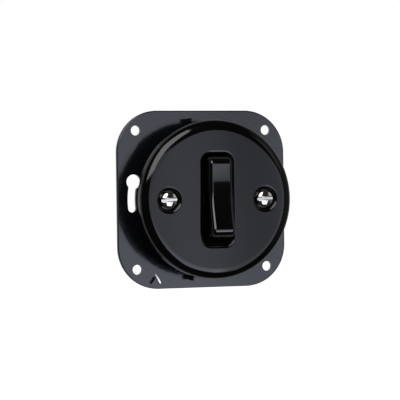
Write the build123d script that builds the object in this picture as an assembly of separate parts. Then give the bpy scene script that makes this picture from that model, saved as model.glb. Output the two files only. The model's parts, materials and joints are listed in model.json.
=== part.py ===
from build123d import *
from math import acos, atan2, cos, hypot, radians, sin, sqrt
import os

# A flush-mounted bell push: a round moulded cover with a rocker, on a square support plate for a wall box.
# The frame: X to the right, Z up, and the front of the push faces -Y. The origin is the centre of the
# support plate's back face, which lies on the wall. Depths are given as "forward" distances from the wall,
# so that forward = -Y, and what goes into the wall box has a negative forward distance.

# Support plate
PLATE_SIDE = 72.0
PLATE_CORNER_R = 17.0
PLATE_T = 1.5
PLATE_EDGE_R = 0.45
CORNER_HOLE_INSET = 8.0
CORNER_HOLE_D = 4.0
SLOT_INSET = 6.0
SLOT_W = 3.4
SLOT_HEAD_D = 6.0
SLOT_HEAD_ANGLE = 14.2
SLOT_END_ANGLE = 6.2
LUG_W = 13.6
LUG_H = 7.0
LUG_INSET = 3.3
LUG_BEND_R = 1.0
LUG_TIP_R = 0.5

# Round cover
DISC_D = 63.6
DISC_GAP = 13.5
DISC_EDGE_H = 2.75
SHOULDER_W = 4.3
SHOULDER_H = 2.5
DISC_WALL = 2.6
RIM_WALL = 2.9
OPENING_CORNER_R = 2.5
OPENING_LIP_R = 2.1

# Cover screws, their wells and their pillars
COVER_SCREW_SPACING = 40.5
SCREW_D = 3.4
SCREW_HEAD_D = 6.9
SCREW_HEAD_SIDE = 2.1
SCREW_HEAD_EDGE_R = 0.3
SCREW_HEAD_DOME_R = 9.0
SCREW_SLOT_W = 0.9
SCREW_SLOT_DEPTH = 1.0
LEFT_SCREW_TURN = 3.8
RIGHT_SCREW_TURN = 2.9
SCREW_LENGTH = 10.0
WELL_D = 7.4
WELL_LIP_R = 1.8
WELL_DEPTH = 2.3
BOSS_D = 11.0
BOSS_H = 2.1
PILLAR_D = 8.0
PILLAR_STUD_D = 3.2
PILLAR_RIVET_D = 5.4
PILLAR_RIVET_H = 0.8
PILLAR_BORE_SPARE = 1.0

# Rocker, drawn level about its pin, then tilted to its rest
PIVOT_FORWARD = 14.8
REST_TILT = 7.0
PRESS_ANGLE = 12.0
ROCKER_W = 9.9
ROCKER_FRONT = 10.4
ROCKER_HOLLOW_R = 76.0
ROCKER_LIP_Z = 15.9
ROCKER_LIP_R = 3.0
ROCKER_END_R = 16.75
ROCKER_BACK = 2.2
ROCKER_EDGE_R = 1.6
HUB_R = 3.4
HEEL_Z = 9.0
HEEL_DROP = 5.5
TOE_DROP = 3.0
NOSE_R = 1.2
NOSE_W = 5.0
PIN_D = 2.5
PIN_END = 0.6

# Bearing bracket
BRACKET_T = 1.0
BRACKET_BEND_R = 0.6
BRACKET_FOOT_L = 7.2
EAR_R = 2.1
BRACKET_SCREW_D = 2.2
BRACKET_SCREW_HEAD_D = 3.8
BRACKET_SCREW_HEAD_H = 1.4
BRACKET_SCREW_SPACING = 4.8
BRACKET_SCREW_LENGTH = 6.0

# Base housing
FLANGE_D = 50.0
FLANGE_T = 3.0
FLANGE_EDGE_R = 0.6
BODY_W = 32.0
BODY_H = 40.0
BODY_CORNER_R = 5.0
BODY_DEPTH = 18.0
BODY_DRAFT = 1.5
BODY_EDGE_R = 0.8
BAY_WALL = 1.8
COLLAR_H = 10.2
COLLAR_CORNER_R = 2.5
COLLAR_EDGE_R = 0.5
STOP_W = 6.0
STOP_L = 4.4
CHAMBER_W = 19.0
CHAMBER_H = 11.0
CHAMBER_FLOOR = 1.0

# Plunger, contact bridge and spring
STEM_SIDE = 6.0
PLUNGER_HEAD_W = 8.0
PLUNGER_HEAD_L = 7.6
PLUNGER_EDGE_R = 0.5
STEM_TAIL = 3.0
SPRING_PEG_D = 2.4
SPRING_PEG_L = 2.6
BRIDGE_L = 17.6
BRIDGE_W = 5.0
BRIDGE_T = 0.6
TIP_SPACING = 14.8
TIP_D = 3.0
TIP_H = 0.5
CONTACT_SPARE = 0.05
SPRING_D = 4.4
SPRING_WIRE = 0.5
SPRING_TURNS = 5.5

# Terminals
TERMINAL_SPACING = 18.2
TERMINAL_Z = 8.0
STRIP_W = 7.0
STRIP_T = 1.0
STRIP_BEYOND_SCREW = 5.6
STRIP_BEYOND_TIP = 3.6
STRIP_CORNER_R = 0.8
CLAMP_W = 6.8
CLAMP_L = 7.6
CLAMP_T = 1.2
CLAMP_CORNER_R = 0.8
CLAMP_GROOVE_W = 2.6
CLAMP_GROOVE_DEPTH = 0.5
TERMINAL_SCREW_D = 3.4
TERMINAL_HEAD_D = 6.0
TERMINAL_HEAD_H = 2.3
TERMINAL_SLOT_W = 1.0
TERMINAL_SLOT_DEPTH = 1.1
TERMINAL_SCREW_LENGTH = 6.0
WIRE_ENTRY_W = 5.0

# Back cover
BACK_COVER_T = 1.5
BACK_COVER_RIM = 1.4
BACK_COVER_CORNER_R = 2.0
BACK_COVER_EDGE = 0.4
BACK_SCREW_D = 2.2
BACK_SCREW_HEAD_D = 4.2
BACK_SCREW_HEAD_H = 1.4
BACK_SCREW_LENGTH = 7.0
BACK_SCREW_MARGIN = 2.6
SPRING_SEAT_DEPTH = 0.4

# Clearances
BODY_CLEAR = 0.3
LUG_FOOT_CLEAR = 1.2
BORE_CLEAR = 0.05
SCREW_CLEAR = 0.2
PIN_CLEAR = 0.04
ROCKER_CHEEK_CLEAR = 0.3
OPENING_SIDE_CLEAR = 0.5
OPENING_END_CLEAR = 0.7
BAY_SIDE_CLEAR = 0.5
BAY_END_CLEAR = 0.6
NOSE_CLEAR = 0.08
GUIDE_CLEAR = 0.15
STRIP_CLEAR = 0.3
COVER_CLEAR = 0.15
BLIND_CLEAR = 0.5

# Planes: TURN holds (radius, forward) outlines for turned pieces, SIDE holds (forward, z) outlines
TURN = Plane(origin=(0, 0, 0), x_dir=(1, 0, 0), z_dir=(0, 0, -1))
SIDE = Plane(origin=(0, 0, 0), x_dir=(0, -1, 0), z_dir=(-1, 0, 0))

os.makedirs("parts", exist_ok=True)


def slab(outline, back, front):
    """A prism with this (x, z) outline between two forward distances."""
    return extrude(Plane.XZ.offset(back) * outline, amount=front - back)


def turned(*points):
    """A turned piece about the forward axis, from its (radius, forward) outline."""
    return revolve(TURN * make_face(Polyline(*points, close=True)), axis=Axis.Y)


def bar(outline, width):
    """A prism across X, centred, with this (forward, z) outline."""
    return extrude(SIDE * outline, amount=width / 2, both=True)


def at(x, z, piece):
    """The piece moved to this place on the front view."""
    return Pos(x, 0, z) * piece


def pair(spacing, z, piece):
    """Two copies, left and right of the middle."""
    return at(-spacing / 2, z, piece) + at(spacing / 2, z, piece)


def write(node, *solids):
    """One file for a node of one or more separate solids."""
    shape = solids[0] if len(solids) == 1 else Compound(children=list(solids))
    export_step(shape, f"parts/{node}.step")


# Forward distances that several pieces share
plate_front = PLATE_T
flange_front = plate_front + FLANGE_T
rim_back = plate_front + DISC_GAP
edge_front = rim_back + DISC_EDGE_H
face_front = edge_front + SHOULDER_H
disc_under = face_front - DISC_WALL
boss_back = disc_under - BOSS_H
well_floor = face_front - WELL_DEPTH
body_back = -BODY_DEPTH
cover_seat = body_back + BACK_COVER_T

# The rocker's heel at rest and pressed gives the plunger its place and its travel
press_tilt = PRESS_ANGLE - REST_TILT
heel_rest = PIVOT_FORWARD - HEEL_DROP * cos(radians(REST_TILT)) + HEEL_Z * sin(radians(REST_TILT))
heel_pressed = PIVOT_FORWARD - HEEL_DROP * cos(radians(press_tilt)) - HEEL_Z * sin(radians(press_tilt))
toe_rest = PIVOT_FORWARD - TOE_DROP * cos(radians(REST_TILT)) - HEEL_Z * sin(radians(REST_TILT))
plunger_travel = heel_rest - heel_pressed
plunger_front = heel_rest - NOSE_R - NOSE_CLEAR
stop_front = toe_rest - NOSE_R - NOSE_CLEAR

# The contacts close over the plunger's travel
chamber_floor = -CHAMBER_FLOOR
stem_back = chamber_floor - STEM_TAIL
bridge_back = stem_back - BRIDGE_T
bridge_tip_back = bridge_back - TIP_H
fixed_tip_front = bridge_tip_back - plunger_travel - CONTACT_SPARE
strip_front = fixed_tip_front - TIP_H
strip_back = strip_front - STRIP_T
clamp_back = strip_back - CLAMP_T

# Places on the front view
half_side = PLATE_SIDE / 2
slot_r = half_side - SLOT_INSET
lug_outer_z = half_side - LUG_INSET
lug_inner_z = lug_outer_z - PLATE_T
hole_spacing = PLATE_SIDE - 2 * CORNER_HOLE_INSET
contact_z = -HEEL_Z
half_cover_screws = COVER_SCREW_SPACING / 2
half_terminals = TERMINAL_SPACING / 2
opening_w = ROCKER_W + 2 * OPENING_SIDE_CLEAR
opening_h = 2 * (ROCKER_END_R + OPENING_END_CLEAR)
ear_gap = ROCKER_W + 2 * ROCKER_CHEEK_CLEAR
bracket_w = ear_gap + 2 * BRACKET_T
pin_length = bracket_w + 2 * PIN_END
bay_w = pin_length + 2 * BAY_SIDE_CLEAR
bay_h = 2 * (ROCKER_END_R + BAY_END_CLEAR)
strip_top = TERMINAL_Z + STRIP_BEYOND_SCREW
strip_bottom = contact_z - STRIP_BEYOND_TIP
strip_length = strip_top - strip_bottom
strip_z = (strip_top + strip_bottom) / 2
trough_w = STRIP_W + 2 * STRIP_CLEAR
trough_h = strip_length + 2 * STRIP_CLEAR
cover_w = TERMINAL_SPACING + trough_w + 2 * BACK_COVER_RIM
cover_h = CHAMBER_H + 4 * BACK_SCREW_MARGIN
back_screw_z = CHAMBER_H / 2 + BACK_SCREW_MARGIN

# Support plate: stamped, with two folded lugs welded on above and below the flange
body_hole = RectangleRounded(BODY_W + 2 * BODY_CLEAR, BODY_H + 2 * BODY_CLEAR, BODY_CORNER_R + BODY_CLEAR)
slot_arc = CenterArc((0, 0), slot_r, 180 - SLOT_HEAD_ANGLE, SLOT_HEAD_ANGLE + SLOT_END_ANGLE)
slot_head = Rot(0, 0, 180 - SLOT_HEAD_ANGLE) * Pos(slot_r, 0) * Circle(SLOT_HEAD_D / 2)
box_slot = SlotArc(slot_arc, SLOT_W) + slot_head
stud_hole = Circle(PILLAR_STUD_D / 2 + BORE_CLEAR)
corner_places = GridLocations(hole_spacing, hole_spacing, 2, 2)

plate = slab(RectangleRounded(PLATE_SIDE, PLATE_SIDE, PLATE_CORNER_R), 0, plate_front)
plate = fillet(plate.faces().sort_by(Axis.Y)[0].edges(), PLATE_EDGE_R)
plate -= slab(body_hole, 0, plate_front)
plate -= slab(Sketch() + corner_places * Circle(CORNER_HOLE_D / 2), 0, plate_front)
plate -= slab(box_slot, 0, plate_front)
plate -= slab(Rot(0, 0, 180) * box_slot, 0, plate_front)
plate -= pair(COVER_SCREW_SPACING, 0, slab(stud_hole, 0, plate_front))

lug_front = plate_front + LUG_H
foot_top = plate_front + PLATE_T
foot_end = FLANGE_D / 2 + LUG_FOOT_CLEAR
lug_outline = make_face(
    Polyline(
        (plate_front, foot_end),
        (plate_front, lug_outer_z),
        (lug_front, lug_outer_z),
        (lug_front, lug_inner_z),
        (foot_top, lug_inner_z),
        (foot_top, foot_end),
        close=True,
    )
)
bend_corner = lug_outline.vertices().sort_by_distance((plate_front, lug_outer_z))[0]
lug_outline = fillet(bend_corner, LUG_BEND_R + PLATE_T)
bend_corner = lug_outline.vertices().sort_by_distance((foot_top, lug_inner_z))[0]
lug_outline = fillet(bend_corner, LUG_BEND_R)
lug = bar(lug_outline, LUG_W)
lug = fillet(lug.faces().sort_by(Axis.Y)[0].edges().filter_by(Axis.X, reverse=True), LUG_TIP_R)
plate += lug
plate += mirror(lug, about=Plane.XY)
write("support_plate", plate)

# Base housing: a round flange in front of the plate, a collar round the rocker, and the body behind
collar_outline = RectangleRounded(bay_w + 2 * BAY_WALL, bay_h + 2 * BAY_WALL, COLLAR_CORNER_R + BAY_WALL)
bay_outline = RectangleRounded(bay_w, bay_h, COLLAR_CORNER_R)
body_outline = RectangleRounded(BODY_W, BODY_H, BODY_CORNER_R)
body = extrude(Plane.XZ * body_outline, amount=-BODY_DEPTH, taper=BODY_DRAFT)
body = fillet(body.faces().sort_by(Axis.Y)[-1].edges(), BODY_EDGE_R)
flange = slab(Circle(FLANGE_D / 2), plate_front, flange_front)
flange = fillet(flange.faces().sort_by(Axis.Y)[0].edges(), FLANGE_EDGE_R)
collar = slab(collar_outline - bay_outline, flange_front, flange_front + COLLAR_H)
collar = fillet(collar.faces().sort_by(Axis.Y)[0].edges(), COLLAR_EDGE_R)
base = body + slab(body_outline, 0, plate_front) + flange + collar
base += at(0, HEEL_Z, slab(Rectangle(STOP_W, STOP_L), flange_front, stop_front))

chamber = at(0, contact_z, slab(Rectangle(CHAMBER_W, CHAMBER_H), body_back, chamber_floor))
guide_side = STEM_SIDE + 2 * GUIDE_CLEAR
guide = at(0, contact_z, slab(Rectangle(guide_side, guide_side), chamber_floor, flange_front))
troughs = pair(TERMINAL_SPACING, strip_z, slab(Rectangle(trough_w, trough_h), body_back, strip_front))
entry_top = BODY_H / 2
entry_h = entry_top - strip_z
entry_outline = Pos(0, entry_h / 2) * Rectangle(WIRE_ENTRY_W, entry_h)
entries = pair(TERMINAL_SPACING, strip_z, slab(entry_outline, body_back, strip_back))
cover_recess = RectangleRounded(cover_w + 2 * COVER_CLEAR, cover_h + 2 * COVER_CLEAR, BACK_COVER_CORNER_R)
base -= chamber
base -= guide
base -= troughs
base -= entries
base -= at(0, contact_z, slab(cover_recess, body_back, cover_seat))

terminal_pilot = slab(
    Circle(TERMINAL_SCREW_D / 2 + BORE_CLEAR),
    clamp_back + TERMINAL_SCREW_LENGTH + BLIND_CLEAR,
    strip_front,
)
back_pilot = slab(
    Circle(BACK_SCREW_D / 2 + BORE_CLEAR),
    body_back,
    body_back + BACK_SCREW_LENGTH + BLIND_CLEAR,
)
bracket_pilot = slab(
    Circle(BRACKET_SCREW_D / 2 + BORE_CLEAR),
    flange_front + BRACKET_T - BRACKET_SCREW_LENGTH - BLIND_CLEAR,
    flange_front,
)
stud_bore = slab(Circle(PILLAR_STUD_D / 2 + BORE_CLEAR), plate_front, flange_front)
base -= pair(TERMINAL_SPACING, TERMINAL_Z, terminal_pilot)
base -= at(0, contact_z - back_screw_z, back_pilot)
base -= at(0, contact_z + back_screw_z, back_pilot)
base -= pair(BRACKET_SCREW_SPACING, 0, bracket_pilot)
base -= pair(COVER_SCREW_SPACING, 0, stud_bore)
write("base_housing", base)

# Cover pillars: turned, with a stud through flange and plate that is riveted over behind the plate
bore_r = SCREW_D / 2 + BORE_CLEAR
bore_back = well_floor - SCREW_LENGTH - PILLAR_BORE_SPARE
rivet_r = PILLAR_RIVET_D / 2
rivet_dome_r = (rivet_r**2 + PILLAR_RIVET_H**2) / (2 * PILLAR_RIVET_H)
pillar_outline = make_face(
    [
        RadiusArc((0, -PILLAR_RIVET_H), (rivet_r, 0), -rivet_dome_r),
        Polyline(
            (rivet_r, 0),
            (PILLAR_STUD_D / 2, 0),
            (PILLAR_STUD_D / 2, flange_front),
            (PILLAR_D / 2, flange_front),
            (PILLAR_D / 2, boss_back),
            (bore_r, boss_back),
            (bore_r, bore_back),
            (0, bore_back),
            (0, -PILLAR_RIVET_H),
        ),
    ]
)
pillar = revolve(TURN * pillar_outline, axis=Axis.Y)
write("cover_pillars", at(-half_cover_screws, 0, pillar), at(half_cover_screws, 0, pillar))

# Round cover: a shallow turned shell with a rounded shoulder, screw wells on bosses and the rocker opening
disc_r = DISC_D / 2
disc_outline = make_face(
    [
        Polyline(
            (disc_r - SHOULDER_W, face_front),
            (0, face_front),
            (0, disc_under),
            (disc_r - RIM_WALL, disc_under),
            (disc_r - RIM_WALL, rim_back),
            (disc_r, rim_back),
            (disc_r, edge_front),
        ),
        EllipticalCenterArc(
            (disc_r - SHOULDER_W, edge_front), SHOULDER_W, SHOULDER_H, start_angle=0, arc_size=90
        ),
    ]
)
disc = revolve(TURN * disc_outline, axis=Axis.Y)
disc += pair(COVER_SCREW_SPACING, 0, slab(Circle(BOSS_D / 2), boss_back, disc_under))
disc -= slab(RectangleRounded(opening_w, opening_h, OPENING_CORNER_R), disc_under, face_front)
disc -= pair(COVER_SCREW_SPACING, 0, slab(Circle(WELL_D / 2), well_floor, face_front))
disc -= pair(COVER_SCREW_SPACING, 0, slab(Circle(SCREW_D / 2 + SCREW_CLEAR), boss_back, well_floor))
for hole, lip_r in enumerate((WELL_LIP_R, OPENING_LIP_R, WELL_LIP_R)):
    face = disc.faces().filter_by(Axis.Y).sort_by(Axis.Y)[0]
    disc = fillet(face.inner_wires().sort_by(Axis.X)[hole].edges(), lip_r)
write("cover_disc", disc)

# Cover screws: raised slotted heads, with a rounded rim round a shallow dome
head_back = well_floor
head_r = SCREW_HEAD_D / 2
head_edge = head_back + SCREW_HEAD_SIDE
dome_edge_r = head_r - SCREW_HEAD_EDGE_R
dome_edge = head_edge + SCREW_HEAD_EDGE_R
head_top = dome_edge + SCREW_HEAD_DOME_R - sqrt(SCREW_HEAD_DOME_R**2 - dome_edge_r**2)
screw_outline = make_face(
    [
        Polyline(
            (0, head_top),
            (0, head_back - SCREW_LENGTH),
            (SCREW_D / 2, head_back - SCREW_LENGTH),
            (SCREW_D / 2, head_back),
            (head_r, head_back),
            (head_r, head_edge),
        ),
        RadiusArc((head_r, head_edge), (dome_edge_r, dome_edge), -SCREW_HEAD_EDGE_R),
        RadiusArc((dome_edge_r, dome_edge), (0, head_top), -SCREW_HEAD_DOME_R),
    ]
)
cover_screw = revolve(TURN * screw_outline, axis=Axis.Y)
cover_screw -= slab(Rectangle(SCREW_HEAD_D, SCREW_SLOT_W), head_top - SCREW_SLOT_DEPTH, head_top)
write(
    "cover_screws",
    at(-half_cover_screws, 0, Rot(0, -LEFT_SCREW_TURN, 0) * cover_screw),
    at(half_cover_screws, 0, Rot(0, -RIGHT_SCREW_TURN, 0) * cover_screw),
)

# Rocker: the ends are arcs about the pin, which leave a constant gap in the opening, and run on tangent
# to the rounded lips of the hollowed front
lip_sag = ROCKER_HOLLOW_R - sqrt(ROCKER_HOLLOW_R**2 - ROCKER_LIP_Z**2)
lip_front = ROCKER_FRONT + lip_sag
lip_reach = hypot(lip_front, ROCKER_LIP_Z)
tangent = atan2(lip_front, ROCKER_LIP_Z) - acos(ROCKER_END_R / lip_reach)
tangent_point = (ROCKER_END_R * sin(tangent), ROCKER_END_R * cos(tangent))
back_z = sqrt(ROCKER_END_R**2 - ROCKER_BACK**2)
rocker_outline = make_face(
    [
        ThreePointArc((lip_front, -ROCKER_LIP_Z), (ROCKER_FRONT, 0), (lip_front, ROCKER_LIP_Z)),
        Line((lip_front, ROCKER_LIP_Z), tangent_point),
        ThreePointArc(tangent_point, (0, ROCKER_END_R), (-ROCKER_BACK, back_z)),
        Line((-ROCKER_BACK, back_z), (-ROCKER_BACK, -back_z)),
        ThreePointArc((-ROCKER_BACK, -back_z), (0, -ROCKER_END_R), (tangent_point[0], -tangent_point[1])),
        Line((tangent_point[0], -tangent_point[1]), (lip_front, -ROCKER_LIP_Z)),
    ]
)
rocker = bar(rocker_outline, ROCKER_W)
lip_edges = rocker.faces().sort_by(Axis.Y)[0].edges().filter_by(Axis.X)
rocker = fillet(lip_edges, ROCKER_LIP_R)
side_edges = rocker.edges().filter_by(Axis.X, reverse=True)
rocker = fillet([e for e in side_edges if -e.center().Y > -ROCKER_BACK / 2], ROCKER_EDGE_R)
rocker += bar(Circle(HUB_R), ROCKER_W)
for nose_z, nose_drop in ((-HEEL_Z, HEEL_DROP), (HEEL_Z, TOE_DROP)):
    leg = Pos(-nose_drop / 2, nose_z) * Rectangle(nose_drop, 2 * NOSE_R)
    rocker += bar(leg + Pos(-nose_drop, nose_z) * Circle(NOSE_R), NOSE_W)
rocker -= bar(Circle(PIN_D / 2 + PIN_CLEAR), ROCKER_W)
rocker = Pos(0, -PIVOT_FORWARD, 0) * Rot(-REST_TILT, 0, 0) * rocker
write("rocker", rocker)

# Bearing bracket: a folded strip with two ears for the pin
ear_front = PIVOT_FORWARD + EAR_R
fold_h = ear_front - flange_front
fold = Pos(0, flange_front + fold_h / 2) * Rectangle(bracket_w, fold_h)
fold = fillet(fold.vertices().group_by(Axis.Y)[0], BRACKET_BEND_R + BRACKET_T)
hollow_h = fold_h - BRACKET_T
hollow = Pos(0, ear_front - hollow_h / 2) * Rectangle(ear_gap, hollow_h)
hollow = fillet(hollow.vertices().group_by(Axis.Y)[0], BRACKET_BEND_R)
bracket = extrude(TURN * (fold - hollow), amount=BRACKET_FOOT_L / 2, both=True)
ear_outline = make_face(
    Polyline(
        (flange_front, -BRACKET_FOOT_L / 2),
        (PIVOT_FORWARD, -EAR_R),
        (PIVOT_FORWARD, EAR_R),
        (flange_front, BRACKET_FOOT_L / 2),
        close=True,
    )
)
bracket &= bar(ear_outline + Pos(PIVOT_FORWARD, 0) * Circle(EAR_R), bracket_w)
bracket -= bar(Pos(PIVOT_FORWARD, 0) * Circle(PIN_D / 2 + PIN_CLEAR), bracket_w)
foot_hole = slab(Circle(BRACKET_SCREW_D / 2 + BORE_CLEAR), flange_front, flange_front + BRACKET_T)
bracket -= pair(BRACKET_SCREW_SPACING, 0, foot_hole)
write("bearing_bracket", bracket)

foot_front = flange_front + BRACKET_T
bracket_screw = turned(
    (0, foot_front - BRACKET_SCREW_LENGTH),
    (BRACKET_SCREW_D / 2, foot_front - BRACKET_SCREW_LENGTH),
    (BRACKET_SCREW_D / 2, foot_front),
    (BRACKET_SCREW_HEAD_D / 2, foot_front),
    (BRACKET_SCREW_HEAD_D / 2, foot_front + BRACKET_SCREW_HEAD_H),
    (0, foot_front + BRACKET_SCREW_HEAD_H),
)
half_bracket_screws = BRACKET_SCREW_SPACING / 2
write("bracket_screws", at(-half_bracket_screws, 0, bracket_screw), at(half_bracket_screws, 0, bracket_screw))

pin = bar(Pos(PIVOT_FORWARD, 0) * Circle(PIN_D / 2), pin_length)
write("pivot_pin", pin)

# Plunger: a head under the rocker's heel, a square stem in the guide and a peg for bridge and spring
head_under = flange_front + plunger_travel + SCREW_CLEAR
plunger = slab(Rectangle(PLUNGER_HEAD_W, PLUNGER_HEAD_L), head_under, plunger_front)
plunger = fillet(plunger.edges().filter_by(Axis.Y), PLUNGER_EDGE_R)
plunger += slab(Rectangle(STEM_SIDE, STEM_SIDE), stem_back, head_under)
plunger += slab(Circle(SPRING_PEG_D / 2), stem_back - SPRING_PEG_L, stem_back)
write("plunger", at(0, contact_z, plunger))

bridge = slab(
    RectangleRounded(BRIDGE_L, BRIDGE_W, STRIP_CORNER_R) - Circle(SPRING_PEG_D / 2 + BORE_CLEAR),
    bridge_back,
    stem_back,
)
write("contact_bridge", at(0, contact_z, bridge))

half_tips = TIP_SPACING / 2
bridge_tip = slab(Circle(TIP_D / 2), bridge_tip_back, bridge_back)
fixed_tip = slab(Circle(TIP_D / 2), strip_front, fixed_tip_front)
write("bridge_tips", at(-half_tips, contact_z, bridge_tip), at(half_tips, contact_z, bridge_tip))
write("fixed_tips", at(-half_tips, contact_z, fixed_tip), at(half_tips, contact_z, fixed_tip))

# Return spring between the bridge and the seat in the back cover
spring_back = cover_seat - SPRING_SEAT_DEPTH
spring_rise = bridge_back - spring_back - SPRING_WIRE - 2 * BORE_CLEAR
coil = Helix(
    pitch=spring_rise / SPRING_TURNS,
    height=spring_rise,
    radius=SPRING_D / 2,
    center=(0, -bridge_back + SPRING_WIRE / 2 + BORE_CLEAR, contact_z),
    direction=(0, 1, 0),
)
spring = sweep(Plane(coil @ 0, z_dir=coil % 0) * Circle(SPRING_WIRE / 2), path=coil, is_frenet=True)
write("return_spring", spring)

# Terminals: flat bars in the troughs, clamp plates and screws that face the back
strip = slab(
    RectangleRounded(STRIP_W, strip_length, STRIP_CORNER_R)
    - Pos(0, TERMINAL_Z - strip_z) * Circle(TERMINAL_SCREW_D / 2 + BORE_CLEAR),
    strip_back,
    strip_front,
)
write("terminal_strip_left", at(-half_terminals, strip_z, strip))
write("terminal_strip_right", at(half_terminals, strip_z, strip))

clamp = slab(
    RectangleRounded(CLAMP_W, CLAMP_L, CLAMP_CORNER_R) - Circle(TERMINAL_SCREW_D / 2 + BORE_CLEAR),
    clamp_back,
    strip_back,
)
groove = slab(Rectangle(CLAMP_GROOVE_W, CLAMP_L), strip_back - CLAMP_GROOVE_DEPTH, strip_back)
clamp -= pair(CLAMP_W - CLAMP_GROOVE_W, 0, groove)
write("terminal_clamps", at(-half_terminals, TERMINAL_Z, clamp), at(half_terminals, TERMINAL_Z, clamp))

terminal_screw = turned(
    (0, clamp_back - TERMINAL_HEAD_H),
    (TERMINAL_HEAD_D / 2, clamp_back - TERMINAL_HEAD_H),
    (TERMINAL_HEAD_D / 2, clamp_back),
    (TERMINAL_SCREW_D / 2, clamp_back),
    (TERMINAL_SCREW_D / 2, clamp_back + TERMINAL_SCREW_LENGTH),
    (0, clamp_back + TERMINAL_SCREW_LENGTH),
)
terminal_screw -= slab(
    Rectangle(TERMINAL_HEAD_D, TERMINAL_SLOT_W),
    clamp_back - TERMINAL_HEAD_H,
    clamp_back - TERMINAL_HEAD_H + TERMINAL_SLOT_DEPTH,
)
write(
    "terminal_screws",
    at(-half_terminals, TERMINAL_Z, terminal_screw),
    at(half_terminals, TERMINAL_Z, terminal_screw),
)

# Back cover over the contact chamber, with the spring's seat, and its two screws
back_hole = Circle(BACK_SCREW_D / 2 + BORE_CLEAR)
back_cover = slab(RectangleRounded(cover_w, cover_h, BACK_COVER_CORNER_R), body_back, cover_seat)
back_cover = chamfer(back_cover.faces().sort_by(Axis.Y)[-1].edges(), BACK_COVER_EDGE)
back_cover -= at(0, back_screw_z, slab(back_hole, body_back, cover_seat))
back_cover -= at(0, -back_screw_z, slab(back_hole, body_back, cover_seat))
seat_r = (SPRING_D + SPRING_WIRE) / 2 + SCREW_CLEAR
back_cover -= slab(Circle(seat_r), cover_seat - SPRING_SEAT_DEPTH, cover_seat)
write("back_cover", at(0, contact_z, back_cover))

back_screw = turned(
    (0, body_back - BACK_SCREW_HEAD_H),
    (BACK_SCREW_HEAD_D / 2, body_back - BACK_SCREW_HEAD_H),
    (BACK_SCREW_HEAD_D / 2, body_back),
    (BACK_SCREW_D / 2, body_back),
    (BACK_SCREW_D / 2, body_back + BACK_SCREW_LENGTH),
    (0, body_back + BACK_SCREW_LENGTH),
)
write(
    "back_cover_screws",
    at(0, contact_z - back_screw_z, back_screw),
    at(0, contact_z + back_screw_z, back_screw),
)
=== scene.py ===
import json
from collections import namedtuple
from math import atan2, cos, pi, radians, sin, sqrt

import bmesh
import bpy
from mathutils import Matrix, Vector


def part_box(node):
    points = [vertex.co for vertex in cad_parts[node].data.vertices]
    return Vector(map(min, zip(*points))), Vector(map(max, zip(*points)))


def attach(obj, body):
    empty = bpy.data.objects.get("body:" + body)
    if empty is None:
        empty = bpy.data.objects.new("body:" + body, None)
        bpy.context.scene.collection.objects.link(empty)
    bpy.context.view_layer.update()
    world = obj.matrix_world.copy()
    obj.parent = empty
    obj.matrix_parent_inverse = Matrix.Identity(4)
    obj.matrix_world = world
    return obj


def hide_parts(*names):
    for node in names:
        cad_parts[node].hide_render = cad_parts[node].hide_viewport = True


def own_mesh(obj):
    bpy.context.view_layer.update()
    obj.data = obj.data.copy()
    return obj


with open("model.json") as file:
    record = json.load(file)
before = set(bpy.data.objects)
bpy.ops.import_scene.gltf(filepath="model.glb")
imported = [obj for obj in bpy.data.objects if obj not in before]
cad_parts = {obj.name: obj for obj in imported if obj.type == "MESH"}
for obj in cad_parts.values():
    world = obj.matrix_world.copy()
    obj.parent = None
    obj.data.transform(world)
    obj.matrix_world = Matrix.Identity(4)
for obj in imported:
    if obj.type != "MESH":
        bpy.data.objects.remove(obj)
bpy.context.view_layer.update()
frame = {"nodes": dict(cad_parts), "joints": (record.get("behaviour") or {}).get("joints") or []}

# A flush rocker bell push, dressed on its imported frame.
# X runs to the right and Z up, the front faces -Y, and lengths are in metres.
NODES = frame["nodes"]
MM = 0.001
NEAR = 0.001 * MM
SHARP_ANGLE = 32.0
AXIS_Y = (0.0, 1.0, 0.0)
AXIS_Z = (0.0, 0.0, 1.0)
ORIGIN = (0.0, 0.0, 0.0)

# Support plate
PLATE_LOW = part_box("support_plate")[0]
PLATE_FRONT = -1.5 * MM

# Screws: head, rounded rim, dome, slot with the rounding of its edges, shank and thread
Screw = namedtuple(
    "Screw", "head_r head_h rim dome_r slot_w slot_depth slot_edge shank_r shank_l pitch"
)
COVER_SCREW = Screw(*(MM * v for v in (3.3, 2.968, 0.35, 9.0, 0.9, 1.0, 0.24, 1.7, 10.0, 0.6)))
TERMINAL_SCREW = Screw(*(MM * v for v in (3.0, 2.3, 0.3, 14.0, 1.0, 1.1, 0.08, 1.7, 6.0, 0.6)))
BRACKET_SCREW = Screw(*(MM * v for v in (1.9, 1.4, 0.2, 9.0, 0.6, 0.7, 0.05, 1.1, 6.0, 0.45)))
BACK_SCREW = Screw(*(MM * v for v in (2.1, 1.4, 0.2, 9.0, 0.6, 0.7, 0.05, 1.1, 7.0, 0.45)))
HEAD_STEPS = 64
DOME_STEPS = 10
RIM_SEGMENTS = 5
SLOT_TURNS = (90.0, 60.0, 30.0, 0.0)
SLOT_CUT_NEAR = 0.0001 * MM
SLOT_DROP_LIMIT = 0.8

# Thread: steps in a turn, then shares of the pitch, and the tip's chamfer as a share of the core
THREAD_STEPS = 28
THREAD_HALF = 0.45
THREAD_DEPTH = 0.5
THREAD_START = 1.5
CORE_DEPTH = 0.45
TIP_CHAMFER = 0.3

# Distance of each cover screw from the middle, and the tool rings on its head
COVER_SCREW_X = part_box("cover_screws")[1][0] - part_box("cover_screws")[1][2]
RING_PITCH = 0.16 * MM

# Return spring
SPRING_WIRE = 0.5 * MM
SPRING_TURNS = 5.5
SPRING_STEPS = 32
SPRING_SIDES = 12

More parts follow.
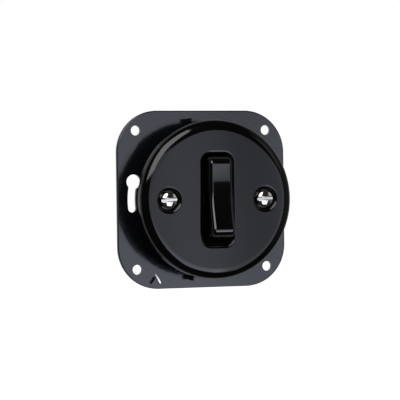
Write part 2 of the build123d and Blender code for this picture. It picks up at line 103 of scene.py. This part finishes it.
# Orientation mark stamped in the plate's lower left corner, as (x, z) on the plate's front
MARK_APEX = (-20.3 * MM, -29.9 * MM)
MARK_FORK = (-20.7 * MM, -31.2 * MM)
MARK_LEFT_FOOT = (-22.7 * MM, -33.65 * MM)
MARK_RIGHT_FOOT = (-18.2 * MM, -33.75 * MM)
MARK_LEFT_STROKE = 1.15 * MM
MARK_RIGHT_STROKE = 0.8 * MM
MARK_RELIEF = 0.1 * MM
MARK_LEAN = 0.34 * MM
MARK_SINK = 0.05 * MM
MARK_SEGMENTS = 3

# Camera, fitted to the plate's outline and holes in the photograph
IMAGE_SIZE = 400
AIM = Vector((0.0, PLATE_FRONT, 0.0))
AIM_PIXEL = (202.09, 199.06)
CAMERA_AZIMUTH = -19.562
CAMERA_ELEVATION = 0.673
CAMERA_ROLL = -0.752
CAMERA_DISTANCE = 0.7606
CAMERA_CLIP = 0.01
FOCAL_PIXELS = 1868.7
SENSOR_MM = 36.0

# Floor
FLOOR_DROP = 0.075
FLOOR_HALF = 4.0
FLOOR_PAINT = (0.8, 0.8, 0.8)
FLOOR_GLOW = 0.75

# Light cards: their corners as degrees to the right of straight in front, and degrees up
LAMP_DISTANCE = 3.0
BLACK = (0.0, 0.0, 0.0)
WHITE = (1.0, 1.0, 1.0)
COOL_WHITE = (0.86, 0.89, 1.0)
FRONT_CORNERS = (
    (-4.0, 4.2),
    (-6.0, 9.0),
    (0.0, 15.5),
    (14.0, 6.5),
    (20.0, 4.7),
    (37.0, 4.7),
    (31.0, -28.0),
    (6.0, -28.0),
)
FRONT_GLOW = 3.0
KEY_CORNERS = (
    (-40.0, 14.0),
    (-5.0, 10.0),
    (-0.4, 18.2),
    (4.6, 21.5),
    (8.2, 27.5),
    (7.0, 37.0),
    (0.0, 46.0),
    (-40.0, 46.0),
)
KEY_GLOW = 3.2
SIDE_CORNERS = ((39.0, 9.0), (56.0, 9.0), (56.0, 25.0), (39.0, 25.0))
SIDE_GLOW = 0.42

# Front card's shading: where each zone begins and is full, in lamp distances, and what it changes
FRONT_LEVEL = 1.29
FRONT_LEFT, LEFT_DROP = (0.306, 0.29), 0.2
FRONT_FADE, FADE_DROP = (0.318, 0.354), 0.54
FRONT_RIGHT, RIGHT_RISE = (0.362, 0.381), 0.46
FRONT_UPWARD, UPWARD_DROP = (-0.04, 0.07), 0.18
FRONT_DOWNWARD, DOWNWARD_RISE = (-0.06, -0.25), 1.3

# Room: levels seen in the gloss, and where its zones begin and are full along a unit direction
ROOM_DARK = 0.02
BEHIND, BEHIND_EDGE = 0.4, (0.0, 0.1)
RIGHT_WALL, WALL_EDGE, WALL_FOOT = 0.14, (0.6, 0.75), (-0.5, -0.1)
AMBIENT = 0.35


class Value:
    """A shader socket that takes part in Python expressions: each operation adds a Math node."""

    def __init__(self, tree, socket):
        self.tree = tree
        self.socket = socket

    def math(self, operation):
        return self.tree.math(operation, self)

    def __add__(self, other):
        return self.tree.math("ADD", self, other)

    def __radd__(self, other):
        return self.tree.math("ADD", other, self)

    def __sub__(self, other):
        return self.tree.math("SUBTRACT", self, other)

    def __rsub__(self, other):
        return self.tree.math("SUBTRACT", other, self)

    def __mul__(self, other):
        return self.tree.math("MULTIPLY", self, other)

    def __rmul__(self, other):
        return self.tree.math("MULTIPLY", other, self)


class Tree:
    """A node tree with one method that adds any node, and short names for those used most."""

    # Sockets of a Mix node for colours, which shares its socket names with its other types
    MIX_FACTOR, MIX_FIRST, MIX_SECOND, MIX_RESULT = 0, 6, 7, 2

    def __init__(self, node_tree):
        self.node_tree = node_tree
        node_tree.nodes.clear()

    def node(self, kind, settings=None, inputs=None, output=0):
        made = self.node_tree.nodes.new(kind)
        for name, setting in (settings or {}).items():
            setattr(made, name, setting)
        for name, value in (inputs or {}).items():
            if isinstance(value, Value):
                self.node_tree.links.new(value.socket, made.inputs[name])
            else:
                made.inputs[name].default_value = value
        return Value(self, made.outputs[output]) if made.outputs else made

    def math(self, operation, *values):
        return self.node("ShaderNodeMath", {"operation": operation}, dict(enumerate(values)))

    def place(self):
        return self.node("ShaderNodeTexCoord", output="Object")

    def axis(self, vector, letter):
        return self.node("ShaderNodeSeparateXYZ", inputs={0: vector}, output=letter)

    def noise(self, vector, scale, detail=3.0, roughness=0.55):
        sockets = {"Vector": vector, "Scale": scale, "Detail": detail, "Roughness": roughness}
        return self.node("ShaderNodeTexNoise", inputs=sockets)

    def streaks(self, vector, scales, detail):
        stretched = self.node("ShaderNodeMapping", inputs={"Vector": vector, "Scale": scales})
        return self.noise(stretched, scale=1.0, detail=detail)

    def cells(self, vector, scale):
        return self.node("ShaderNodeTexVoronoi", inputs={"Vector": vector, "Scale": scale})

    def ramp(self, value, low, high, shape="LINEAR"):
        sockets = {"Value": value, "From Min": low, "From Max": high}
        return self.node("ShaderNodeMapRange", {"interpolation_type": shape}, sockets)

    def step(self, value, low, high):
        return self.ramp(value, low, high, "SMOOTHSTEP")

    def blend(self, factor, first, second):
        sockets = {
            self.MIX_FACTOR: factor,
            self.MIX_FIRST: rgba(first),
            self.MIX_SECOND: rgba(second),
        }
        return self.node("ShaderNodeMix", {"data_type": "RGBA"}, sockets, self.MIX_RESULT)

    def bump(self, height, depth, strength, below=None):
        sockets = {"Height": height, "Distance": depth, "Strength": strength}
        if below is not None:
            sockets["Normal"] = below
        return self.node("ShaderNodeBump", inputs=sockets)

    def light_path(self, name):
        return self.node("ShaderNodeLightPath", output=name)


def rgba(colour):
    """A colour of three numbers, with its alpha."""
    return (*colour, 1.0)


def new_material(name):
    """A material and its emptied tree."""
    material = bpy.data.materials.new(name)
    material.use_nodes = True
    return material, Tree(material.node_tree)


def finish(name, inputs):
    """A material whose function `inputs` gives the Principled shader's sockets from the tree."""
    material, tree = new_material(name)
    shader = tree.node("ShaderNodeBsdfPrincipled", inputs=inputs(tree))
    tree.node("ShaderNodeOutputMaterial", inputs={"Surface": shader})
    return material


def gloss_black(tree, coat=0.0):
    """Polished black moulding: a deep, faintly uneven gloss with a few hairline scuffs."""
    place = tree.place()
    broad = tree.noise(place, scale=70.0, detail=2.0)
    fine = tree.noise(place, scale=900.0)
    scuffs = tree.step(tree.streaks(place, (2200.0, 900.0, 160.0), detail=2.0), 0.62, 0.8)
    waves = tree.bump(broad, depth=0.05 * MM, strength=0.35)
    return {
        "Base Color": tree.blend(broad, (0.0012, 0.0012, 0.0015), (0.0022, 0.0022, 0.0026)),
        "Roughness": 0.055 + 0.03 * fine + 0.05 * scuffs,
        "Normal": tree.bump(fine, depth=0.004 * MM, strength=0.35, below=waves),
        "IOR": 1.5,
        "Coat Weight": coat,
    }


def rocker_black(tree):
    """The rocker's moulding, buffed to a higher gloss than the cover by years of thumbs."""
    return gloss_black(tree, coat=0.6)


def coated_plate(tree):
    """Black lacquered steel: a slightly blue, satin gloss with fine grain and a faint peel."""
    place = tree.place()
    cloud = tree.noise(place, scale=110.0, detail=4.0)
    grain = tree.noise(place, scale=3200.0, detail=2.0)
    peel = tree.bump(tree.noise(place, scale=650.0, detail=2.0), depth=0.07 * MM, strength=0.6)
    return {
        "Base Color": tree.blend(cloud, (0.0022, 0.0026, 0.0036), (0.0034, 0.004, 0.0054)),
        "Roughness": 0.16 + 0.05 * cloud + 0.03 * grain,
        "Normal": tree.bump(grain, depth=0.006 * MM, strength=0.3, below=peel),
        "Coat Weight": 0.9 + 0.1 * cloud,
        "Coat Roughness": 0.1,
        "Coat IOR": 1.58,
        "Specular Tint": (0.82, 0.9, 1.0, 1.0),
        "IOR": 1.5,
    }


def matt_black(tree):
    """Moulded thermoset: dull black with mineral specks and a faint flow."""
    place = tree.place()
    flow = tree.streaks(place, (90.0, 260.0, 90.0), detail=4.0)
    specks = tree.step(tree.noise(place, scale=2600.0, detail=2.0), 0.62, 0.74)
    grain = tree.noise(place, scale=1500.0)
    return {
        "Base Color": tree.blend(specks, (0.016, 0.015, 0.015), (0.055, 0.05, 0.046)),
        "Roughness": 0.36 + 0.12 * flow + 0.08 * grain,
        "Normal": tree.bump(grain, depth=0.02 * MM, strength=0.4),
    }


def hard_paper(tree):
    """Laminated brown paper board: fibres along Z under a resin gloss."""
    place = tree.place()
    fibres = tree.streaks(place, (2400.0, 2400.0, 120.0), detail=4.0)
    tone = 0.6 * fibres + 0.4 * tree.noise(place, scale=160.0)
    return {
        "Base Color": tree.blend(tone, (0.10, 0.045, 0.018), (0.26, 0.135, 0.055)),
        "Roughness": 0.34 + 0.2 * fibres,
        "Normal": tree.bump(fibres, depth=0.015 * MM, strength=0.4),
    }


def ivory(tree):
    """Cream moulding of the plunger."""
    place = tree.place()
    cloud = tree.noise(place, scale=220.0)
    grain = tree.noise(place, scale=1800.0)
    return {
        "Base Color": tree.blend(cloud, (0.60, 0.52, 0.37), (0.70, 0.63, 0.47)),
        "Roughness": 0.32 + 0.14 * cloud,
        "Normal": tree.bump(grain, depth=0.008 * MM, strength=0.3),
    }


def turned_rings(tree, spacing_x, pitch):
    """Tool rings round two axes that run front to back, left and right of the middle."""
    place = tree.place()
    off_axis = tree.axis(place, "X").math("ABSOLUTE") - spacing_x
    height = tree.axis(place, "Z")
    radius = (off_axis * off_axis + height * height).math("SQRT")
    return (radius * (2 * pi / pitch)).math("SINE")


def nickel(tree):
    """Bright nickel plate on turned heads: nearly a mirror, with faint tool rings and wear."""
    rings = turned_rings(tree, COVER_SCREW_X, RING_PITCH)
    haze = tree.noise(tree.place(), scale=700.0)
    return {
        "Base Color": tree.blend(haze, (0.72, 0.70, 0.66), (0.84, 0.83, 0.80)),
        "Roughness": 0.05 + 0.06 * haze + 0.01 * rings,
        "Metallic": 1.0,
        "Normal": tree.bump(rings, depth=0.0006 * MM, strength=0.4),
    }


def brass(tree):
    """Turned and stamped brass with a light tarnish."""
    place = tree.place()
    blotch = tree.noise(place, scale=260.0, detail=5.0, roughness=0.65)
    tarnish = tree.step(blotch, 0.42, 0.72)
    lines = tree.streaks(place, (5000.0, 260.0, 5000.0), detail=2.0)
    return {
        "Base Color": tree.blend(tarnish, (0.76, 0.56, 0.25), (0.48, 0.32, 0.13)),
        "Roughness": 0.2 + 0.16 * tarnish + 0.06 * lines,
        "Metallic": 1.0,
        "Normal": tree.bump(lines, depth=0.003 * MM, strength=0.35),
    }


def plated_steel(tree):
    """Zinc plate: cool grey with a soft spangle."""
    place = tree.place()
    spangle = tree.cells(place, scale=900.0)
    cloud = tree.noise(place, scale=320.0, detail=4.0)
    return {
        "Base Color": tree.blend(cloud, (0.50, 0.52, 0.55), (0.66, 0.67, 0.66)),
        "Roughness": 0.26 + 0.12 * cloud + 60.0 * spangle,
        "Metallic": 1.0,
        "Normal": tree.bump(cloud, depth=0.006 * MM, strength=0.3),
    }


def spring_steel(tree):
    """Drawn spring wire: grey with fine drawing marks."""
    drawn = tree.streaks(tree.place(), (1500.0, 6000.0, 1500.0), detail=2.0)
    return {
        "Base Color": tree.blend(drawn, (0.36, 0.36, 0.37), (0.54, 0.54, 0.54)),
        "Roughness": 0.24 + 0.14 * drawn,
        "Metallic": 1.0,
        "Normal": tree.bump(drawn, depth=0.003 * MM, strength=0.3),
    }


def bronze(tree):
    """Rolled phosphor bronze: rolling lines along the strip and warm patches."""
    place = tree.place()
    rolled = tree.streaks(place, (200.0, 4000.0, 5200.0), detail=3.0)
    patch = tree.noise(place, scale=240.0, detail=4.0)
    return {
        "Base Color": tree.blend(patch, (0.62, 0.37, 0.21), (0.74, 0.48, 0.28)),
        "Roughness": 0.22 + 0.14 * rolled,
        "Metallic": 1.0,
        "Normal": tree.bump(rolled, depth=0.003 * MM, strength=0.3),
    }


def silver(tree):
    """Contact silver: pale, with a touch of sulphide tarnish."""
    tarnish = tree.step(tree.noise(tree.place(), scale=900.0, detail=4.0), 0.5, 0.8)
    return {
        "Base Color": tree.blend(tarnish, (0.86, 0.85, 0.81), (0.55, 0.52, 0.45)),
        "Roughness": 0.2 + 0.2 * tarnish,
        "Metallic": 1.0,
    }


FINISHES = {
    function.__name__: finish(function.__name__, function)
    for function in (
        gloss_black,
        rocker_black,
        coated_plate,
        matt_black,
        hard_paper,
        ivory,
        nickel,
        brass,
        plated_steel,
        spring_steel,
        bronze,
        silver,
    )
}

NODE_FINISH = {
    "support_plate": "coated_plate",
    "cover_disc": "gloss_black",
    "rocker": "rocker_black",
    "base_housing": "matt_black",
    "back_cover": "hard_paper",
    "plunger": "ivory",
    "cover_screws": "nickel",
    "cover_pillars": "brass",
    "terminal_strip_left": "brass",
    "terminal_strip_right": "brass",
    "bearing_bracket": "plated_steel",
    "bracket_screws": "plated_steel",
    "terminal_clamps": "plated_steel",
    "terminal_screws": "plated_steel",
    "back_cover_screws": "plated_steel",
    "pivot_pin": "spring_steel",
    "return_spring": "spring_steel",
    "contact_bridge": "bronze",
    "bridge_tips": "silver",
    "fixed_tips": "silver",
}


def dress(obj, name):
    """Gives an object one finish."""
    obj.data.materials.clear()
    obj.data.materials.append(FINISHES[name])


for node, name in NODE_FINISH.items():
    dress(NODES[node], name)


def new_object(name, mesh):
    """An object in the scene from a bmesh, which is used up."""
    data = bpy.data.meshes.new(name)
    mesh.to_mesh(data)
    mesh.free()
    obj = bpy.data.objects.new(name, data)
    bpy.context.scene.collection.objects.link(obj)
    return obj


def new_piece(name, mesh, finish_name, body="insert"):
    """A piece from a bmesh, dressed and riding on its body."""
    bmesh.ops.recalc_face_normals(mesh, faces=mesh.faces)
    piece = new_object(name, mesh)
    piece.data.shade_smooth()
    piece.data.set_sharp_from_angle(angle=radians(SHARP_ANGLE))
    dress(piece, finish_name)
    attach(piece, body)
    return piece


def round_edges(mesh, edges, offset, segments):
    """Rounds some edges of a mesh."""
    bmesh.ops.bevel(
        mesh,
        geom=edges,
        offset=offset,
        segments=segments,
        profile=0.5,
        affect="EDGES",
        material=-1,
    )


def mark_stroke(name, foot, top, width, lean, finish_name):
    """One stroke of the stamped mark: a low ridge with rounded edges, its upper left side raised
    by the lean."""
    start = Vector((foot[0], 0.0, foot[1]))
    end = Vector((top[0], 0.0, top[1]))
    aside = (end - start).normalized().cross(Vector(AXIS_Y)) * (width / 2)
    base = Vector((0.0, PLATE_FRONT + MARK_SINK, 0.0))
    outline = (start - aside, start + aside, end + aside, end - aside)
    mesh = bmesh.new()
    face = mesh.faces.new([mesh.verts.new(base + corner) for corner in outline])
    top_face = bmesh.ops.extrude_face_region(mesh, geom=[face])["geom"]
    raised = [v for v in top_face if isinstance(v, bmesh.types.BMVert)]
    bmesh.ops.translate(mesh, verts=raised, vec=(0.0, -MARK_RELIEF - MARK_SINK, 0.0))
    upper = [v for v in raised if (v.co - start).dot(aside) > 0.0]
    bmesh.ops.translate(mesh, verts=upper, vec=(0.0, -lean, 0.0))
    rim = [e for e in mesh.edges if all(v in raised for v in e.verts)]
    round_edges(mesh, rim, MARK_RELIEF, MARK_SEGMENTS)
    new_piece(name, mesh, finish_name)


# The mark's two strokes carry painted light and shade. The right stroke's bright nickel is a
# painted highlight for the light that leg catches.
mark_stroke("mark_right_stroke_painted_highlight", MARK_RIGHT_FOOT, MARK_APEX, MARK_RIGHT_STROKE, 0.0, "nickel")
# The left stroke's black gloss, darker than the plate's coat, is painted shade for the leg that
# faces away from the light.
mark_stroke(
    "mark_left_stroke_painted_shade", MARK_LEFT_FOOT, MARK_FORK, MARK_LEFT_STROKE, MARK_LEAN, "gloss_black"
)


def spun_head(mesh, screw):
    """A screw without its slot, turned about Y: the head's seat at y = 0, the head towards -Y."""
    head_r, top, dome_r, shank_l = screw.head_r, screw.head_h, screw.dome_r, screw.shank_l
    core_r = screw.shank_r - CORE_DEPTH * screw.pitch
    chamfer = TIP_CHAMFER * core_r
    rise = sqrt(dome_r**2 - head_r**2)
    shoulder = top - dome_r + rise
    bmesh.ops.spin(
        mesh,
        geom=[mesh.verts.new((0.0, -top, 0.0))],
        cent=(0.0, dome_r - top, 0.0),
        axis=AXIS_Z,
        angle=atan2(head_r, rise),
        steps=DOME_STEPS,
    )
    last = max(mesh.verts, key=lambda v: v.co.x)
    for x, y in (
        (head_r, 0.0),
        (core_r, 0.0),
        (core_r, shank_l - chamfer),
        (core_r - chamfer, shank_l),
        (0.0, shank_l),
    ):
        following = mesh.verts.new((x, y, 0.0))
        mesh.edges.new((last, following))
        last = following
    bmesh.ops.spin(
        mesh,
        geom=mesh.verts[:] + mesh.edges[:],
        cent=ORIGIN,
        axis=AXIS_Y,
        angle=2 * pi,
        steps=HEAD_STEPS,
        use_merge=True,
    )
    bmesh.ops.remove_doubles(mesh, verts=mesh.verts, dist=NEAR)

    def on_rim(v):
        return abs(v.co.y + shoulder) < NEAR and v.co.xz.length > head_r - NEAR

    rim_edges = [e for e in mesh.edges if all(on_rim(v) for v in e.verts)]
    round_edges(mesh, rim_edges, screw.rim, RIM_SEGMENTS)


def cut_slot(mesh, screw):
    """A driver slot across the head along X, with its two upper edges rounded over."""
    half = screw.slot_w / 2
    edge = screw.slot_edge
    floor = screw.slot_depth - screw.head_h
    planes = [((0.0, floor, 0.0), AXIS_Y)]
    for turn in SLOT_TURNS:
        aside = half + edge * (1.0 - sin(radians(turn)))
        planes += [((0.0, 0.0, sign * aside), AXIS_Z) for sign in (-1, 1)]
    for place, normal in planes:
        head = [f for f in mesh.faces if f.calc_center_median().y < 0.0]
        verts = {v for f in head for v in f.verts}
        edges = {e for f in head for e in f.edges}
        bmesh.ops.bisect_plane(
            mesh,
            geom=head + list(verts) + list(edges),
            dist=SLOT_CUT_NEAR,
            plane_co=place,
            plane_no=normal,
        )
    middles = [(f, f.calc_center_median()) for f in mesh.faces]
    inside = [f for f, middle in middles if abs(middle.z) < half and middle.y < floor]
    bmesh.ops.delete(mesh, geom=inside, context="FACES")

    def on_floor(v):
        return abs(v.co.y - floor) < NEAR

    def on_wall(v, sign):
        return abs(v.co.z - sign * half) < NEAR

    open_edges = [e for e in mesh.edges if e.is_boundary]
    corners = sorted(
        {v for e in open_edges for v in e.verts if on_floor(v)}, key=lambda v: v.co.x
    )
    ends = [e for e in open_edges if all(on_floor(v) for v in e.verts)]
    rows = [[v for v in corners if on_wall(v, sign)] for sign in (-1, 1)]
    floor_edges = [mesh.edges.new((row[0], row[-1])) for row in rows]
    bmesh.ops.contextual_create(mesh, geom=floor_edges + ends)
    for sign, floor_edge in zip((-1, 1), floor_edges):
        wall = [e for e in open_edges if e not in ends and all(on_wall(v, sign) for v in e.verts)]
        bmesh.ops.contextual_create(mesh, geom=wall + [floor_edge])
    for v in mesh.verts:
        share = (half + edge - abs(v.co.z)) / edge
        if v.co.y < floor and 0.0 < share < 1.0 + NEAR / edge:
            drop = edge * (1.0 - sqrt(1.0 - min(share, 1.0) ** 2))
            v.co.y += min(drop, SLOT_DROP_LIMIT * (floor - v.co.y))


def wind(mesh, verts, edges, turns, steps, rise):
    """Runs a closed profile round Y along a helix and closes both its ends."""
    run = bmesh.ops.spin(
        mesh,
        geom=verts + edges,
        cent=ORIGIN,
        axis=AXIS_Y,
        dvec=(0.0, rise / steps, 0.0),
        angle=2 * pi * turns,
        steps=steps,
    )
    last = [g for g in run["geom_last"] if isinstance(g, bmesh.types.BMEdge)]
    for end in (edges, last):
        bmesh.ops.contextual_create(mesh, geom=end)


def add_thread(mesh, screw):
    """A single thread round the shank: a small triangle run along a helix."""
    pitch = screw.pitch
    turns = int(screw.shank_l / pitch) - 2
    root = screw.shank_r - THREAD_DEPTH * pitch
    first = THREAD_START * pitch
    flank = THREAD_HALF * pitch
    profile = ((root, first - flank), (screw.shank_r, first), (root, first + flank))
    corners = [mesh.verts.new((x, y, 0.0)) for x, y in profile]
    edges = [mesh.edges.new(pair) for pair in zip(corners, corners[1:] + corners[:1])]
    wind(mesh, corners, edges, turns, THREAD_STEPS * turns, turns * pitch)


def screw_places(node):
    """The two heads' middles in a node with two equal screws, side by side or stacked."""
    low, high = (Vector(corner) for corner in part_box(node))
    middle = (low + high) / 2
    spread = (high - low) / 2
    head_r = min(spread.x, spread.z)
    apart = Vector((spread.x - head_r, 0.0, spread.z - head_r))
    return middle - apart, middle + apart


def screw_pair(node, screw, finish_name, turns, front=True):
    """Two slotted, threaded screws in the node's place, with their heads to the front or back."""
    low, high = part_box(node)
    seat = high[1] - screw.shank_l if front else low[1] + screw.shank_l
    both = bmesh.new()
    for place, turn in zip(screw_places(node), turns):
        mesh = bmesh.new()
        spun_head(mesh, screw)
        cut_slot(mesh, screw)
        add_thread(mesh, screw)
        stand = Matrix.Rotation(radians(-turn), 4, "Y")
        if not front:
            stand = Matrix.Rotation(pi, 4, "X") @ stand
        mesh.transform(Matrix.Translation((place.x, seat, place.z)) @ stand)
        single = bpy.data.meshes.new("screw")
        mesh.to_mesh(single)
        mesh.free()
        both.from_mesh(single)
        bpy.data.meshes.remove(single)
    piece = new_piece("dressed_" + node, both, finish_name)
    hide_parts(node)


screw_pair("cover_screws", COVER_SCREW, "nickel", (3.8, 2.9))
screw_pair("bracket_screws", BRACKET_SCREW, "plated_steel", (38.0, 71.0))
screw_pair("terminal_screws", TERMINAL_SCREW, "plated_steel", (0.0, 0.0), front=False)
screw_pair("back_cover_screws", BACK_SCREW, "plated_steel", (24.0, 117.0), front=False)


def wound_spring(node, joint):
    """A wire wound in the node's place. It reads the joint's travel, but does not shorten with it.
    """
    low, high = (Vector(corner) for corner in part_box(node))
    length = high.y - low.y
    coil_r = (high.x - low.x - SPRING_WIRE) / 2
    mesh = bmesh.new()
    ring = bmesh.ops.create_circle(mesh, segments=SPRING_SIDES, radius=SPRING_WIRE / 2)["verts"]
    bmesh.ops.translate(mesh, verts=ring, vec=(coil_r, SPRING_WIRE / 2, 0.0))
    steps = int(SPRING_STEPS * SPRING_TURNS)
    wind(mesh, ring, mesh.edges[:], SPRING_TURNS, steps, length - SPRING_WIRE)
    mesh.transform(Matrix.Translation(((low.x + high.x) / 2, low.y, (low.z + high.z) / 2)))
    piece = new_piece("wound_" + node, mesh, "spring_steel")
    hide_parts(node)
    travel = next(j for j in frame["joints"] if j["name"] == joint)["range_m"][1]
    1.0 - travel / length
    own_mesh(piece)


wound_spring("return_spring", "plunger_slide")


def direction(azimuth, elevation):
    """A unit vector from the object, with azimuth 0 straight in front and positive to the right."""
    a = radians(azimuth)
    e = radians(elevation)
    return Vector((sin(a) * cos(e), -cos(a) * cos(e), sin(e)))


def light_card(name, corners, colour, strength, shade=None):
    """A glowing card with its corners in these directions from the object, unseen by the camera
    itself. `shade` gives its brightness, from 0 to 1, where that isn't even."""
    mesh = bmesh.new()
    places = [AIM + LAMP_DISTANCE * direction(*corner) for corner in corners]
    mesh.faces.new([mesh.verts.new(place) for place in places])
    card = new_object(name, mesh)
    material, tree = new_material(name)
    tint = tree.blend(shade(tree), BLACK, colour) if shade else rgba(colour)
    glow = tree.node("ShaderNodeEmission", inputs={"Color": tint, "Strength": strength})
    tree.node("ShaderNodeOutputMaterial", inputs={"Surface": glow})
    card.data.materials.append(material)
    card.visible_camera = False


def front_glow(tree):
    """Brightest left of the middle and towards the floor, and paler again at the right edge."""
    place = tree.place()
    across = tree.axis(place, "X") * (1.0 / LAMP_DISTANCE)
    height = tree.axis(place, "Z") * (1.0 / LAMP_DISTANCE)
    left = tree.step(across, *FRONT_LEFT)
    fade = tree.step(across, *FRONT_FADE)
    right = tree.step(across, *FRONT_RIGHT)
    upward = tree.ramp(height, *FRONT_UPWARD)
    downward = tree.ramp(height, *FRONT_DOWNWARD)
    level = FRONT_LEVEL - LEFT_DROP * left - FADE_DROP * fade + RIGHT_RISE * right
    level *= 1.0 - UPWARD_DROP * upward
    level *= 1.0 + DOWNWARD_RISE * downward * (1.0 - right)
    return level * (1.0 / FRONT_GLOW)


light_card("front_card", FRONT_CORNERS, COOL_WHITE, FRONT_GLOW, front_glow)
light_card("key_card", KEY_CORNERS, WHITE, KEY_GLOW)
light_card("side_card", SIDE_CORNERS, WHITE, SIDE_GLOW)


def make_floor():
    """A pale floor: white to the camera, with the object's soft shadow, and clear from below."""
    mesh = bmesh.new()
    bmesh.ops.create_grid(mesh, x_segments=1, y_segments=1, size=FLOOR_HALF)
    bmesh.ops.translate(mesh, verts=mesh.verts, vec=(0.0, 0.0, PLATE_LOW[2] - FLOOR_DROP))
    floor = new_object("floor", mesh)
    material, tree = new_material("floor_paint")
    paint = tree.node("ShaderNodeBsdfDiffuse", inputs={"Color": rgba(FLOOR_PAINT)})
    level = FLOOR_GLOW * tree.light_path("Is Camera Ray")
    glow = tree.node("ShaderNodeEmission", inputs={"Strength": level})
    lit = tree.node("ShaderNodeAddShader", inputs={0: paint, 1: glow})
    clear = tree.node("ShaderNodeBsdfTransparent")
    under = tree.node("ShaderNodeNewGeometry", output="Backfacing")
    shader = tree.node("ShaderNodeMixShader", inputs={0: under, 1: lit, 2: clear})
    tree.node("ShaderNodeOutputMaterial", inputs={"Surface": shader})
    floor.data.materials.append(material)
    floor.visible_glossy = False


make_floor()


def make_world():
    """White to the camera. In the object's gloss, a dark room in front and a paler one behind."""
    world = bpy.data.worlds.new("studio")
    world.use_nodes = True
    bpy.context.scene.world = world
    tree = Tree(world.node_tree)
    towards = tree.node("ShaderNodeTexCoord", output="Generated")
    behind = tree.step(tree.axis(towards, "Y"), *BEHIND_EDGE)
    right = tree.step(tree.axis(towards, "X"), *WALL_EDGE)
    right *= tree.step(tree.axis(towards, "Z"), *WALL_FOOT)
    wall = ROOM_DARK + (RIGHT_WALL - ROOM_DARK) * right
    room = wall + (BEHIND - wall) * behind
    glossy = tree.light_path("Is Glossy Ray")
    mirror = tree.math("MAXIMUM", glossy, tree.light_path("Is Transmission Ray"))
    level = mirror * room + (1.0 - mirror) * AMBIENT
    strength = tree.math("MAXIMUM", tree.light_path("Is Camera Ray"), level)
    sockets = {"Color": rgba(WHITE), "Strength": strength}
    background = tree.node("ShaderNodeBackground", inputs=sockets)
    tree.node("ShaderNodeOutputWorld", inputs={"Surface": background})


make_world()


def make_camera():
    """The camera at the photograph's angle, rolled and shifted to its framing."""
    camera = bpy.data.cameras.new("camera")
    camera.sensor_width = SENSOR_MM
    camera.lens = FOCAL_PIXELS / IMAGE_SIZE * SENSOR_MM
    camera.shift_x = (IMAGE_SIZE / 2 - AIM_PIXEL[0]) / IMAGE_SIZE
    camera.shift_y = (AIM_PIXEL[1] - IMAGE_SIZE / 2) / IMAGE_SIZE
    camera.clip_start = CAMERA_CLIP
    holder = bpy.data.objects.new("camera", camera)
    back = direction(CAMERA_AZIMUTH, CAMERA_ELEVATION)
    roll = Matrix.Rotation(radians(CAMERA_ROLL), 3, "Z")
    turn = back.to_track_quat("Z", "Y").to_matrix() @ roll
    holder.matrix_world = Matrix.Translation(AIM + back * CAMERA_DISTANCE) @ turn.to_4x4()
    bpy.context.scene.collection.objects.link(holder)
    bpy.context.scene.camera = holder


make_camera()
bpy.context.scene.view_settings.view_transform = "Standard"
